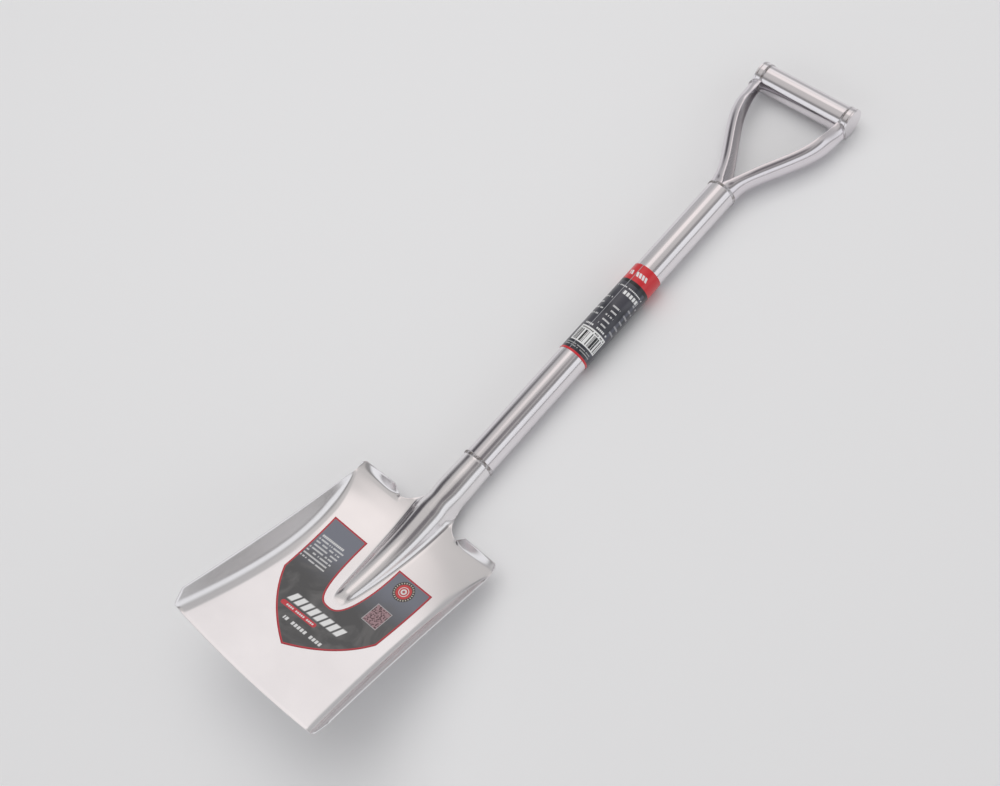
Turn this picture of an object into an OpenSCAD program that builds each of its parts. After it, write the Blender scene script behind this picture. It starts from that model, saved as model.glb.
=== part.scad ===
// All-steel D-handle shovel with a square mouth, lying face up on a floor as it rests.
// +X is the user's right, +Y points along the shaft to the grip, +Z is up.
// The origin is on the floor, below the middle of the object.
// Stations along the tool are measured from the socket weld: p runs towards the mouth, q towards the grip.

/* [Shaft] */
// Outside diameter of the shaft tube
shaft_d = 38; // [36:0.5:40]
// Wall of the shaft tube
shaft_wall = 1.5; // [1:0.1:2]
// Length of bare shaft from the socket weld to the yoke weld
shaft_len = 446; // [380:1:520]
// Length of the swaged end inside the socket
swage_len = 46; // [30:1:50]

/* [Handle] */
// From the yoke weld to the axis of the grip
grip_rise = 171; // [160:1:185]
// Outside diameter of the grip tube
grip_d = 35; // [34:0.5:36]
// Length of the grip tube
grip_len = 132; // [128:1:138]
// Height of the yoke arms half way up, square to the handle's plane
arm_h = 34.6; // [32:0.2:36]
// Wall of the yoke arms
arm_wall = 1.8; // [1:0.1:2]

/* [Blade] */
// Thickness of the blade sheet
sheet_t = 1.5; // [1.2:0.1:2]
// Half width of the blade at the shoulders
rim_half_w = 102.7; // [98:0.5:108]
// Extra half width of the rims at the mouth
rim_flare = 7; // [4:0.5:10]
// Angle between the rims and the shaft
rim_angle = 22.5; // [20:0.5:25]
// Station of the mouth edge on the centre line
mouth_p = 338.5; // [320:0.5:350]
// Height of the frog ridge at the shoulders
frog_h = 19.5; // [17:0.5:20]
// Station where the frog ridge has run out
frog_end_p = 222; // [210:1:240]

/* [Labels] */
// Length of the sleeve label on the shaft
label_len = 138; // [100:1:180]
// From the socket weld to the sleeve label's lower end
label_from = 166; // [100:1:200]

/* [Hidden] */
$fn = 64;

shaft_r = shaft_d / 2;
bore_r = shaft_r - shaft_wall;
grip_r = grip_d / 2;
grip_q = shaft_len + grip_rise;
cap_r = 18.6;
cap_t = 2.5;
collar_r = 18.5;
collar_in_x = 60;
cap_in_x = grip_len / 2;
seam_h = 1;           // how far the seam weld stands out

// ---- Blade profile -------------------------------------------------------------------------
shoulder_p = 95;      // where the rims start
tread_p = 90;         // the bend line of the treads
neck_p = 85;          // where the cut beside the socket ends
flare_p = 58;         // where the neck starts to flare out of the socket
wrap_p = 36;          // the socket is a closed ring up to here
edge_z = 10.5;        // the pan's side edges at the shoulders, above the shaft's axis
pan_lift = 0.7;       // slope that the pan's curve tends to
pan_bend_p = 110;     // where the pan starts to curve up
pan_bend_r = 150;     // how gently it does
socket_end_r = shaft_r + 0.3;
socket_r = shaft_r + 1.3;
tread_top_z = 13.5;   // level of the treads' edges
tread_edge_p = 79.5;
mouth_bow = 3.5;      // how far the mouth edge bows forward
front_slant = 17;     // how far the side walls' front edges lean back
slant_from = 0.45;    // the share of the wall's width where they start to

function smooth(a, b, x) = let (t = max(0, min(1, (x - a) / (b - a)))) t * t * (3 - 2 * t);
function mix(a, b, t) = a + (b - a) * t;
function bezier2(a, b, c, t) = (1 - t) * (1 - t) * a + 2 * t * (1 - t) * b + t * t * c;
function bezier3(a, b, c, d, t) = mix(bezier2(a, b, c, t), bezier2(b, c, d, t), t);

// The rim of the side walls is straight seen from the side, and bows outwards towards the mouth.
function rim_z(p) = edge_z + tan(rim_angle) * max(0, p - shoulder_p);
function rim_x(p) =
    rim_half_w + rim_flare * pow(max(0, p - shoulder_p) / (mouth_p - front_slant - shoulder_p), 2);
// The pan's side edge, where the wall's foot stands, runs level and then curves up.
function edge_rise(p) = let (d = max(0, p - pan_bend_p))
    pan_lift * (sqrt(d * d + pan_bend_r * pan_bend_r) - pan_bend_r);
function foot_z(p) = edge_z + edge_rise(p);
function wall_h(p) = max(0, rim_z(p) - foot_z(p));
foot_inset = 2;       // the foot is this far inside the rim at the shoulders
wall_lean = 0.55;     // and goes further in by this share of the wall's height
function foot_x(p) = rim_x(p) - foot_inset - wall_lean * wall_h(p);
// The pan is dished, most of all at the neck, and dips where the neck leaves the socket.
pan_dish = 3;
neck_dish = 6.5;
socket_dip = 6;
function pan_sag(p) = pan_dish + neck_dish * exp(-pow((p - 80) / 60, 2));
function neck_dip(p) = socket_dip * (1 - smooth(60, 78, p));
function pan_z(x, p) =
    foot_z(p) - pan_sag(p) * (1 - pow(min(1, abs(x) / foot_x(p)), 2)) - neck_dip(p);

// The frog ridge: an arch of half width frog_a and height frog_b on the pan.
frog_from_p = 82;     // the ridge starts to narrow here
frog_half_w = 20.3;
frog_tip_half_w = 6;
frog_low_h = 5;       // its height before the tip rounds down
tip_len = 18;
function frog_run(p) = max(0, 1 - max(0, p - frog_from_p) / (frog_end_p + 3 - frog_from_p));
function frog_a(p) = sqrt(mix(pow(frog_tip_half_w, 2), pow(frog_half_w, 2), frog_run(p)));
function frog_b(p) =
    mix(frog_h, frog_low_h, max(0, p - 80) / 125) * (1 - smooth(frog_end_p - tip_len, frog_end_p, p));
arch_end = 65;        // the arch's share, in degrees from its crest

// The cut beside the socket is a superellipse from the socket's side to the tread.
cut_x = 43;
cut_in_x = 21.5;
cut_n = 1.7;
function cut_edge_x(p) = p >= neck_p ? cut_x : let (t = max(0, (p - flare_p) / (neck_p - flare_p)))
    cut_x - (cut_x - cut_in_x) * pow(max(0, 1 - pow(t, cut_n)), 1 / cut_n);

// Columns of the sheet, counted from the crest outwards.
n_arch = 7;
n_fillet = 4;
n_inner = 3;
n_outer = 6;
n_bend = 4;
n_wall = 3;
c1 = n_arch;
c2 = c1 + n_fillet;
c3 = c2 + n_inner;
c4 = c3 + n_outer;
c5 = c4 + n_bend;
n_half = c5 + n_wall;

// A point of the sheet's upper face in the neck and pan: column k, station p, as [x, z].
function arch_pt(k, p, z0, b) = let (a = frog_a(p), w = arch_end * k / n_arch)
    [a * sin(w), z0 + b * cos(w)];
function centre_pt(k, p) =
    let (a = frog_a(p), z0 = pan_z(0, p), b = frog_b(p) + (p < frog_from_p ? socket_r - frog_h - z0 : 0),
         outer = cut_edge_x(p),
         end_x = min(1.32 * a, mix(a, outer, 0.75)),
         end_pt = [end_x, pan_z(end_x, p)],
         from = arch_pt(n_arch, p, z0, b),
         knee = [min(1.1 * a, end_x), pan_z(1.1 * a, p)])
    k <= c1 ? arch_pt(k, p, z0, b)
    : k <= c2 ? bezier2(from, knee, end_pt, (k - c1) / n_fillet)
    : let (x = mix(end_x, outer, (k - c2) / n_inner)) [x, pan_z(x, p)];
function bend_len(p) = min(9, 1.5 + 0.45 * wall_h(p));
function side_pt(k, p) =
    let (foot = [foot_x(p), foot_z(p)], rim = [rim_x(p), rim_z(p)],
         up = (rim - foot) / max(0.01, norm(rim - foot)),
         lo_x = foot[0] - bend_len(p), lo = [lo_x, pan_z(lo_x, p)],
         hi = foot + up * min(bend_len(p), 0.7 * norm(rim - foot)))
    k <= c4 ? let (x = mix(cut_x, lo_x, (k - c3) / n_outer)) [x, pan_z(x, p)]
    : k <= c5 ? bezier2(lo, foot, hi, (k - c4) / n_bend)
    : mix(hi, rim, (k - c5) / n_wall);
function pan_pt(k, p) = k <= c3 ? centre_pt(k, p) : side_pt(k, p);

// The closed socket: the columns lie on a ring, from its crest round to the seam at the back.
function ring_share(k) = k <= c1 ? 0.64 * k / c1 : 0.64 + 0.36 * (k - c1) / (c3 - c1);
function ring_r(p) = mix(socket_end_r, socket_r, smooth(0, 40, p));
function ring_end(p) = -89 + 78 * smooth(wrap_p, 60, p);
function ring_pt(k, p) = let (w = mix(90, ring_end(p), ring_share(k))) ring_r(p) * [cos(w), sin(w)];
function neck_pt(k, p) = let (t = smooth(46, 64, p))
    t >= 1 ? centre_pt(k, p)
    : t <= 0 ? ring_pt(k, p)
    : mix(ring_pt(k, p), centre_pt(k, max(p, flare_p)), t);

// Rows of the sheet: the socket and neck, then the pan. The treads' rows lie beside the neck's last ones.
n_ring = 3;
n_wrap = 4;
n_neck = 6;
n_socket = n_ring + n_wrap + n_neck + 1;
n_tread = 4;
n_pan = 25;
n_rows = n_socket + n_pan;
function neck_row_p(j) =
    j <= n_ring ? wrap_p * j / n_ring
    : j <= n_ring + n_wrap ? mix(wrap_p, flare_p, (j - n_ring) / n_wrap)
    : j < n_socket ? flare_p + (neck_p - flare_p) * sin(90 * (j - n_ring - n_wrap) / n_neck)
    : tread_p;
corner_step = 1.3;    // and how far the bend between pan and wall does
corner_bend = 1.3;
function mouth_end(k) =
    let (bow = mouth_bow * pow(min(1, pan_pt(k, mouth_p - 10)[0] / foot_x(mouth_p - 10)), 2),
         wall = max(0, (k - c4) / (n_half - c4)))
    mouth_p - bow - corner_step * wall
    - front_slant * pow(max(0, (wall - slant_from) / (1 - slant_from)), corner_bend);
// A tread's inner end is a slanted edge from the cut's end up to the tread's edge.
slant_x = 54.4;
slant_p = 79.1;
corner_x = 98.5;      // where the tread's outer corner starts to round off
corner_drop = 9;
tread_bend = 0.245;   // how softly a tread bends up
function tread_edge(x) = tread_edge_p + corner_drop * pow(max(0, x - corner_x) / 5, 1.5);
function tread_pt(k, j) =
    let (t = (n_socket - j) / n_tread, root = pan_pt(k, tread_p), first = pan_pt(c3 + 1, tread_p)[0],
         x = mix(first + 5 * t, rim_x(0) - 0.8 * t, (root[0] - first) / (rim_x(0) - first)),
         rise = (norm([t, tread_bend]) - tread_bend) / (norm([1, tread_bend]) - tread_bend),
         plain = [x, -mix(tread_p, tread_edge(x), t), mix(root[1], tread_top_z, rise)],
         slant = [mix(cut_x, slant_x, t), -mix(neck_p, slant_p, t),
                  mix(pan_z(cut_x, neck_p), tread_top_z, t)])
    t <= 0 ? [root[0], -tread_p, root[1]] : mix(plain, slant, exp(-pow((k - c3 - 1) / 1.1, 2)));
function half_pt(k, j) =
    j >= n_socket ? let (p = mix(tread_p, mouth_end(k), (j - n_socket) / n_pan), s = pan_pt(k, p))
        [s[0], -p, s[1]]
    : k <= c3 ? let (p = neck_row_p(j), s = neck_pt(k, p)) [s[0], -p, s[1]]
    : tread_pt(k, max(j, n_socket - n_tread));
function face_pt(i, j) = let (h = half_pt(abs(i), j)) [i < 0 ? -h[0] : h[0], h[1], h[2]];

// Offsetting the face by the sheet's thickness: neighbours in the same patch give the normal.
function patch(i, j) = j >= n_socket ? 0 : abs(i) <= c3 ? 1 : 2;
function lo_i(i, j) = i == -n_half ? i : patch(i - 1, j) == patch(i, j) ? i - 1 : i;
function hi_i(i, j) = i == n_half ? i : patch(i + 1, j) == patch(i, j) ? i + 1 : i;
function lo_j(i, j) = patch(i, j) == 2 ? max(j - 1, n_socket - n_tread) : max(j - 1, 0);
function hi_j(i, j) = min(patch(i, j) == 2 ? max(j + 1, n_socket - n_tread + 1) : j + 1, n_rows);
function unit(v) = v / norm(v);
function back_pt(i, j) =
    let (across = face_pt(hi_i(i, j), j) - face_pt(lo_i(i, j), j),
         along = face_pt(i, lo_j(i, j)) - face_pt(i, hi_j(i, j)))
    face_pt(i, j) - sheet_t * unit(cross(across, along));

// A cell of the grid is metal if it belongs to the pan, the neck or a tread.
function metal(i, j) =
    i < -n_half || i >= n_half || j < 0 || j >= n_rows ? false
    : j >= n_socket ? true
    : i >= -c3 && i < c3 ? true
    : j == n_socket - 1 ? true
    : j >= n_socket - n_tread && (i < -c3 - 1 || i > c3);
n_across = 2 * n_half + 1;
n_face = n_across * (n_rows + 1);
function id(i, j) = j * n_across + i + n_half;
function two(a, b, c, d) = [[a, b, c], [a, c, d]];
function cell_faces(i, j) =
    let (a = id(i, j), b = id(i + 1, j), c = id(i + 1, j + 1), d = id(i, j + 1), n = n_face)
    [each two(a, b, c, d),
     each two(n + a, n + d, n + c, n + b),
     if (!metal(i, j - 1)) each two(b, a, n + a, n + b),
     if (!metal(i + 1, j)) each two(c, b, n + b, n + c),
     if (!metal(i, j + 1)) each two(d, c, n + c, n + d),
     if (!metal(i - 1, j)) each two(a, d, n + d, n + a)];

// ---- Sticker: a shield with a notch for the frog, laid on the pan ----------------------------
sticker_top_p = 150;
sticker_w = 75;       // half width at the top
corner_w = 71;        // half width where the point starts
corner_p = 228;
tip_p = 291;
notch_w = 25;         // half width of the notch at the top
notch_p = 230;
sticker_t = 0.25;
sticker_gap = 0.04;
sticker_lean = 4.8;   // how far the sticker's top sits off centre
n_run = 24;
n_band = 8;
function notch(s) = [notch_w * pow(cos(90 * s), 0.7), mix(sticker_top_p, notch_p, sin(90 * s))];
function shield(s) = s <= 0.5 ? mix([sticker_w, sticker_top_p], [corner_w, corner_p], 2 * s)
    : bezier2([corner_w, corner_p], [50, 266], [0, tip_p], 2 * s - 1);
function sticker_pt(i, j, up) =
    let (s = 1 - abs(i) / n_run, c = mix(notch(s), shield(s), j / n_band),
         x = (i < 0 ? -1 : 1) * c[0] - sticker_lean * (tip_p - c[1]) / (tip_p - sticker_top_p))
    [x, -c[1], pan_z(x, c[1]) + sticker_gap + up];

// ---- Yoke arms: halves of a tube, slit and spread, so each is a channel open to the inside ----
// u runs from the yoke weld towards the grip. A ramp is a line with a rounded start.
arm_gap = 0.1;        // half the slit at the yoke weld
lean = 0.61;          // sideways per unit of length, where the arms lean most
foot_lean = 0.43;     // the same for the upper lip next to the yoke weld
low_split = 23;       // the lower lips stay together up to here
low_out = 125;        // the lower lip stands upright from here
high_knee = 44;       // the upper lip leans at its most from here
high_out = 108;       // the upper lip stands upright from here
back_out = 20.5;      // the back of the arm leans out from here
back_up = 109;        // the back of the arm stands upright from here
foot_round = 14;      // rounding of the bends near the yoke weld
knee_round = 26;      // rounding of the bends near the grip
function ramp(u, w) = (u + sqrt(u * u + w * w)) / 2;
function low_lip_x(u) = max(arm_gap, lean * (ramp(u - low_split, foot_round) - ramp(u - low_out, knee_round)));
function high_lip_x(u) = max(arm_gap, foot_lean * ramp(u, 4) - lean * ramp(u - high_out, knee_round)
                                      + (lean - foot_lean) * ramp(u - high_knee, foot_round));
function arm_back_x(u) = shaft_r + lean * (ramp(u - back_out, foot_round) - ramp(u - back_up, knee_round));
arm_tip_h = 12;       // half the height of an arm's end at the grip
function arm_half_h(u) = mix(mix(shaft_r, arm_h / 2, smooth(0, 40, u)), arm_tip_h, smooth(118, 150, u));
// A point of the arm's section: w runs from the lower lip over the back to the upper lip.
function arm_section(w, u, inset = 0) =
    let (lip_x = mix(low_lip_x(u), high_lip_x(u), (1 + sin(w)) / 2),
         mid_x = mix(low_lip_x(u), high_lip_x(u), 0.5), open = smooth(-1, 12, u),
         x0 = mix(arm_gap, lip_x, open), depth = arm_back_x(u) - mix(arm_gap, mid_x, open))
    [x0 + (depth - inset) * cos(w), (arm_half_h(u) - inset) * sin(w)];
n_round = 20;
n_loop = 2 * (n_round + 1);
n_arm = 30;
function saddle_q(z) = grip_q - sqrt(collar_r * collar_r - z * z);
function arm_pt(k, j) =
    let (inner = k > n_round,
         w = inner ? 90 - 180 * (k - n_round - 1) / n_round : -90 + 180 * k / n_round,
         z = arm_tip_h * sin(w), q = mix(shaft_len, saddle_q(z), j / n_arm),
         s = arm_section(w, q - shaft_len, inner ? arm_wall : 0))
    [s[0], q, s[1]];

module place() translate([0, (mouth_p - grip_q - cap_r) / 2, socket_r + seam_h]) children();

module blade() color("gainsboro") place()
    polyhedron(
        points = [for (j = [0:n_rows], i = [-n_half:n_half]) face_pt(i, j),
                  for (j = [0:n_rows], i = [-n_half:n_half]) back_pt(i, j)],
        faces = [for (j = [0:n_rows - 1], i = [-n_half:n_half - 1])
                     if (metal(i, j)) each cell_faces(i, j)]);

module seam_weld() color("darkgray") place()
    rotate([90 + atan((socket_r - socket_end_r) / wrap_p), 0, 0]) translate([0, 0, 2])
        linear_extrude(height = wrap_p - 3)
            polygon([[0.33, 0.9 - socket_end_r], [0.33, 0.12 - socket_end_r],
                     for (w = [0:22.5:180]) [2.4 * cos(w), 0.1 - socket_end_r - seam_h * sin(w)],
                     [-0.33, 0.12 - socket_end_r], [-0.33, 0.9 - socket_end_r]]);

module along_y(q = 0) translate([0, q, 0]) rotate([-90, 0, 0]) children();

module socket_weld() color("darkgray") place() along_y()
    rotate_extrude() polygon([
        [shaft_r - 1.3, 0.04], [shaft_r, 1.6],
        for (w = [75:-15:-75]) [shaft_r + 0.2 + 1.1 * cos(w), 0.2 + 2.3 * sin(w)],
        [socket_end_r + 0.02, -2.1], [socket_end_r + 0.02, 0.04]]);

module shaft_tube() color("silver") place() along_y()
    rotate_extrude() polygon([
        [0, -swage_len], [shaft_r - 2.3, -swage_len], [shaft_r - 1.3, 1 - swage_len], [shaft_r - 1.3, 0],
        [shaft_r, 1.6], [shaft_r, shaft_len], [bore_r, shaft_len], [bore_r, 3],
        [bore_r - 1.3, 0.5], [bore_r - 1.3, 1.5 - swage_len], [0, 1.5 - swage_len]]);

module shaft_label() color("dimgray") place() along_y(label_from) difference() {
    cylinder(h = label_len, r = shaft_r + 0.5);
    translate([0, 0, -1]) cylinder(h = label_len + 2, r = shaft_r);
}

module blade_sticker() color("slategray") place()
    polyhedron(
        points = [for (up = [0, sticker_t], i = [-n_run:n_run], j = [0:n_band]) sticker_pt(i, j, up)],
        faces = let (m = n_band + 1, l = 2 * n_run, n = m * (l + 1)) [
            for (i = [0:l - 1], j = [0:n_band - 1]) let (a = i * m + j) each concat(
                two(a, a + 1, a + m + 1, a + m), two(n + a, n + a + m, n + a + m + 1, n + a + 1)),
            for (i = [0:l - 1]) let (a = i * m, b = i * m + n_band) each concat(
                two(a, a + m, n + a + m, n + a), two(b + m, b, n + b, n + b + m)),
            for (j = [0:n_band - 1]) let (a = j, b = l * m + j) each concat(
                two(a + 1, a, n + a, n + a + 1), two(b, b + 1, n + b + 1, n + b))]);

module yoke_weld() color("darkgray") place() along_y(shaft_len)
    rotate_extrude() polygon([for (w = [-90:15:90]) [shaft_r + 0.02 + 1.1 * cos(w), 0.3 + 2.1 * sin(w)]]);

module arm() place()
    polyhedron(
        points = [for (j = [0:n_arm], k = [0:n_loop - 1]) arm_pt(k, j)],
        faces = let (e = n_loop * n_arm, m = n_loop - 1) [
            for (j = [0:n_arm - 1], k = [0:m])
                let (a = j * n_loop + k, b = j * n_loop + (k + 1) % n_loop)
                    each two(a, b, b + n_loop, a + n_loop),
            for (k = [0:n_round - 1]) each concat(two(k + 1, k, m - k, m - k - 1),
                                                  two(e + k, e + k + 1, e + m - k - 1, e + m - k))]);
module yoke_arm_right() color("silver") arm();
module yoke_arm_left() color("silver") mirror([1, 0, 0]) arm();

module yoke_plug() color("darkgray") place() along_y(shaft_len - 3)
    cylinder(h = 2.8, r = bore_r - 0.02);

module along_x(x = 0) translate([x, grip_q, 0]) rotate([0, 90, 0]) children();
module ring(len, r_in, r_out) difference() {
    cylinder(h = len, r = r_out);
    translate([0, 0, -1]) cylinder(h = len + 2, r = r_in);
}
module bead(r, w, h)
    rotate_extrude() polygon([for (a = [0:22.5:180]) [r + h * sin(a), w / 2 * cos(a)]]);

module grip_tube() color("silver") place() along_x(-grip_len / 2) ring(grip_len, grip_r - 1.5, grip_r);

module collar() place() along_x(collar_in_x) ring(cap_in_x - collar_in_x, grip_r, collar_r);
module grip_collar_right() color("silver") collar();
module grip_collar_left() color("silver") mirror([1, 0, 0]) collar();

module collar_weld() place() along_x(collar_in_x - 1.2) bead(grip_r, 4, 1);
module collar_weld_right() color("darkgray") collar_weld();
module collar_weld_left() color("darkgray") mirror([1, 0, 0]) collar_weld();

// The bead round an arm's end is a fillet on the collar, swept round the arm's back.
weld_leg = 2;
weld_round = 0.75;
weld_sweep = 70;
function weld_pt(k, m) =
    let (w = mix(-weld_sweep, weld_sweep, k / n_round), u = grip_rise - collar_r, s = arm_section(w, u),
         d = unit([cos(w) * arm_tip_h, sin(w) * (arm_back_x(u) - high_lip_x(u))]),
         out = weld_leg * (m == 1 ? 1 : m == 2 ? weld_round : 0),
         down = weld_leg * (m == 3 ? 1 : m == 2 ? weld_round : 0),
         z = s[1] + 0.42 * out * d[1])
    [s[0] + out * d[0], saddle_q(z) - down, z];
module arm_weld() place()
    polyhedron(
        points = [for (k = [0:n_round], m = [0:3]) weld_pt(k, m)],
        faces = let (e = 4 * n_round) [
            for (k = [0:n_round - 1], m = [0:3])
                let (n = (m + 1) % 4) each two(4 * k + m, 4 * k + n, 4 * k + 4 + n, 4 * k + 4 + m),
            each two(3, 2, 1, 0), each two(e, e + 1, e + 2, e + 3)]);
module arm_weld_right() color("darkgray") arm_weld();
module arm_weld_left() color("darkgray") mirror([1, 0, 0]) arm_weld();

module end_cap() place() along_x(cap_in_x)
    rotate_extrude() polygon([
        [0, 0], [cap_r - 0.3, 0], [cap_r, 0.3], [cap_r, cap_t - 0.5], [cap_r - 0.5, cap_t], [0, cap_t]]);
module end_cap_right() color("silver") end_cap();
module end_cap_left() color("silver") mirror([1, 0, 0]) end_cap();

module cap_weld() place() along_x(cap_in_x) bead(collar_r - 0.1, 1.2, 0.35);
module cap_weld_right() color("dimgray") cap_weld();
module cap_weld_left() color("dimgray") mirror([1, 0, 0]) cap_weld();

blade();
seam_weld();
socket_weld();
shaft_tube();
shaft_label();
blade_sticker();
yoke_weld();
yoke_arm_left();
yoke_arm_right();
yoke_plug();
grip_tube();
grip_collar_left();
grip_collar_right();
collar_weld_left();
collar_weld_right();
arm_weld_left();
arm_weld_right();
end_cap_left();
end_cap_right();
cap_weld_left();
cap_weld_right();
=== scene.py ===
import math

import bmesh
import bpy
from mathutils import Matrix, Vector


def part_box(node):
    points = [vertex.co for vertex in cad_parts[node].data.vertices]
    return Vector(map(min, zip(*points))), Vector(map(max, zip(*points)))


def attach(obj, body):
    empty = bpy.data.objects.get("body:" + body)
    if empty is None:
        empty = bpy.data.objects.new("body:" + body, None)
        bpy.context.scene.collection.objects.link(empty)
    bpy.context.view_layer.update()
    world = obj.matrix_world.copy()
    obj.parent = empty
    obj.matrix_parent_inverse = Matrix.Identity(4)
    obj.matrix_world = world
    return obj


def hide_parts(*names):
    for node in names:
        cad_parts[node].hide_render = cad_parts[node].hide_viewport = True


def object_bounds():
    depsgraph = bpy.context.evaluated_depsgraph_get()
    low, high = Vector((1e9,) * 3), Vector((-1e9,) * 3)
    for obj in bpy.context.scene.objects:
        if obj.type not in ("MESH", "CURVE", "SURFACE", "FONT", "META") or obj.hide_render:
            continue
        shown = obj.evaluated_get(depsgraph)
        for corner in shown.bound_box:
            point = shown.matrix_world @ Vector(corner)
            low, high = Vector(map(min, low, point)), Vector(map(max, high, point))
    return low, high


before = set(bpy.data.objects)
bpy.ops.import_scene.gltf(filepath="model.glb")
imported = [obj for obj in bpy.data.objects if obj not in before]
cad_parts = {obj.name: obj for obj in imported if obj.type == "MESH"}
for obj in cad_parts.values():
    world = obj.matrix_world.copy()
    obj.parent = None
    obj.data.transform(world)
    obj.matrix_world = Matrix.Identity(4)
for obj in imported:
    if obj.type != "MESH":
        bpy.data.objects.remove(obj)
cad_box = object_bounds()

# All-steel D-handle shovel, lying face up. Sizes are in millimetres until MM turns them into metres.
# Stations are measured from the socket weld: p runs towards the mouth, q towards the grip.
MM = 0.001
SHAFT_LO, SHAFT_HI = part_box("shaft_tube")
GRIP_LO, GRIP_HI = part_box("grip_tube")
SWAGE = 46
WELD_Y = SHAFT_LO.y + SWAGE * MM                   # the socket weld, where both stations start
AXIS_Z = (SHAFT_LO.z + SHAFT_HI.z) / 2
SHAFT_R = (SHAFT_HI.x - SHAFT_LO.x) / 2 / MM
SHAFT_LEN = (SHAFT_HI.y - WELD_Y) / MM
GRIP_R = (GRIP_HI.z - GRIP_LO.z) / 2 / MM
GRIP_Q = ((GRIP_LO.y + GRIP_HI.y) / 2 - WELD_Y) / MM
CAP_X = GRIP_HI.x / MM                              # the grip tube's end
SHEET_T = 1.5


def place(x, y, z):
    """A point given in millimetres from the socket weld on the shaft's axis, in the frame."""
    return Vector((x * MM, WELD_Y + y * MM, AXIS_Z + z * MM))


def clamp(t):
    return max(0.0, min(1.0, t))


def mix(a, b, t):
    return a + (b - a) * t


def smooth(a, b, x):
    t = clamp((x - a) / (b - a))
    return t * t * (3 - 2 * t)


def bezier(a, b, c, t):
    """A point at t on the curve from a to c that is drawn towards b."""
    return tuple((1 - t) ** 2 * u + 2 * t * (1 - t) * v + t * t * w for u, v, w in zip(a, b, c))


# ---- The blade's shape, as in the CAD but on a finer grid -----------------------------------------
# At the treads' inner ends the CAD blends by columns of its grid, and this script by SLANT_SPREAD.
# Stations of the rims' start, the treads' bend line, the cut's end, the neck's flare, the ring's end.
SHOULDER_P, TREAD_P, NECK_P, FLARE_P, WRAP_P = 95, 90, 85, 58, 36
EDGE_Z = 10.5                       # the pan's side edges at the shoulders
RIM_HALF_W, RIM_FLARE, RIM_SLOPE = 102.7, 7, math.tan(math.radians(22.5))
FOOT_INSET, WALL_LEAN = 2, 0.55     # the side walls' feet lie inside the rims, more where they are high
MOUTH_P, MOUTH_BOW, FRONT_SLANT, SLANT_FROM = 338.5, 3.5, 17, 0.45
CORNER_STEP, CORNER_BEND = 1.3, 1.3
PAN_LIFT, PAN_BEND_P, PAN_BEND_R = 0.7, 110, 150
PAN_DISH, NECK_DISH, NECK_DISH_P, NECK_DISH_RUN = 3, 6.5, 80, 60
SOCKET_DIP, DIP_FROM_P, DIP_END_P = 6, 60, 78
FROG_H, FROG_LOW_H, FROG_FROM_P, FROG_END_P, FROG_TIP_LEN = 19.5, 5, 82, 222, 18
FROG_HALF_W, FROG_TIP_HALF_W = 20.3, 6
FROG_DROP_P, FROG_DROP_RUN = 80, 125
ARCH_END = 65                       # the frog's round part, in degrees from its crest
FILLET_END, FILLET_SHARE, FILLET_KNEE = 1.32, 0.75, 1.1
BEND_MIN, BEND_MAX, BEND_SHARE, BEND_REACH = 1.5, 9, 0.45, 0.7
SOCKET_END_R, SOCKET_R, SOCKET_TAPER = SHAFT_R + 0.3, SHAFT_R + 1.3, 40
RING_SHARE = 0.64                   # the frog's columns take this share of the socket's ring
RING_END, RING_OPENING, RING_OPEN_P = -89, 78, 60
NECK_FROM_P, NECK_TO_P = 46, 64     # the ring turns into the neck between these
TREAD_TOP_Z, TREAD_EDGE_P, TREAD_BEND = 13.5, 79.5, 0.245
TREAD_IN, TREAD_NARROWING = 5, 0.8
CUT_X, CUT_IN_X, CUT_N = 43, 21.5, 1.7
SLANT_X, SLANT_P, SLANT_SPREAD = 54.4, 79.1, 6
CORNER_X, CORNER_DROP, CORNER_RUN, CORNER_POWER = 98.5, 9, 5, 1.5
# Columns of points on half the blade, from the crest outwards: C1 to C5 are where each part ends.
N_ARCH, N_FILLET, N_INNER, N_OUTER, N_BEND, N_WALL = 14, 8, 6, 12, 10, 8
C1 = N_ARCH
C2 = C1 + N_FILLET
C3 = C2 + N_INNER
C4 = C3 + N_OUTER
C5 = C4 + N_BEND
N_HALF = C5 + N_WALL
# Rows of points from the socket's end to the mouth. The treads' rows lie beside the neck's last ones.
N_RING, N_WRAP, N_NECK, N_TREAD, N_PAN = 8, 12, 16, 10, 72
N_SOCKET = N_RING + N_WRAP + N_NECK + 1
N_ROWS = N_SOCKET + N_PAN


def rim_z(p):
    return EDGE_Z + RIM_SLOPE * max(0, p - SHOULDER_P)


def rim_x(p):
    return RIM_HALF_W + RIM_FLARE * (max(0, p - SHOULDER_P) / (MOUTH_P - FRONT_SLANT - SHOULDER_P)) ** 2


def foot_z(p):
    return EDGE_Z + PAN_LIFT * (math.hypot(max(0, p - PAN_BEND_P), PAN_BEND_R) - PAN_BEND_R)


def wall_h(p):
    return max(0, rim_z(p) - foot_z(p))


def foot_x(p):
    return rim_x(p) - FOOT_INSET - WALL_LEAN * wall_h(p)


def pan_z(x, p):
    sag = PAN_DISH + NECK_DISH * math.exp(-((p - NECK_DISH_P) / NECK_DISH_RUN) ** 2)
    dip = SOCKET_DIP * (1 - smooth(DIP_FROM_P, DIP_END_P, p))
    return foot_z(p) - sag * (1 - min(1, abs(x) / foot_x(p)) ** 2) - dip


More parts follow.
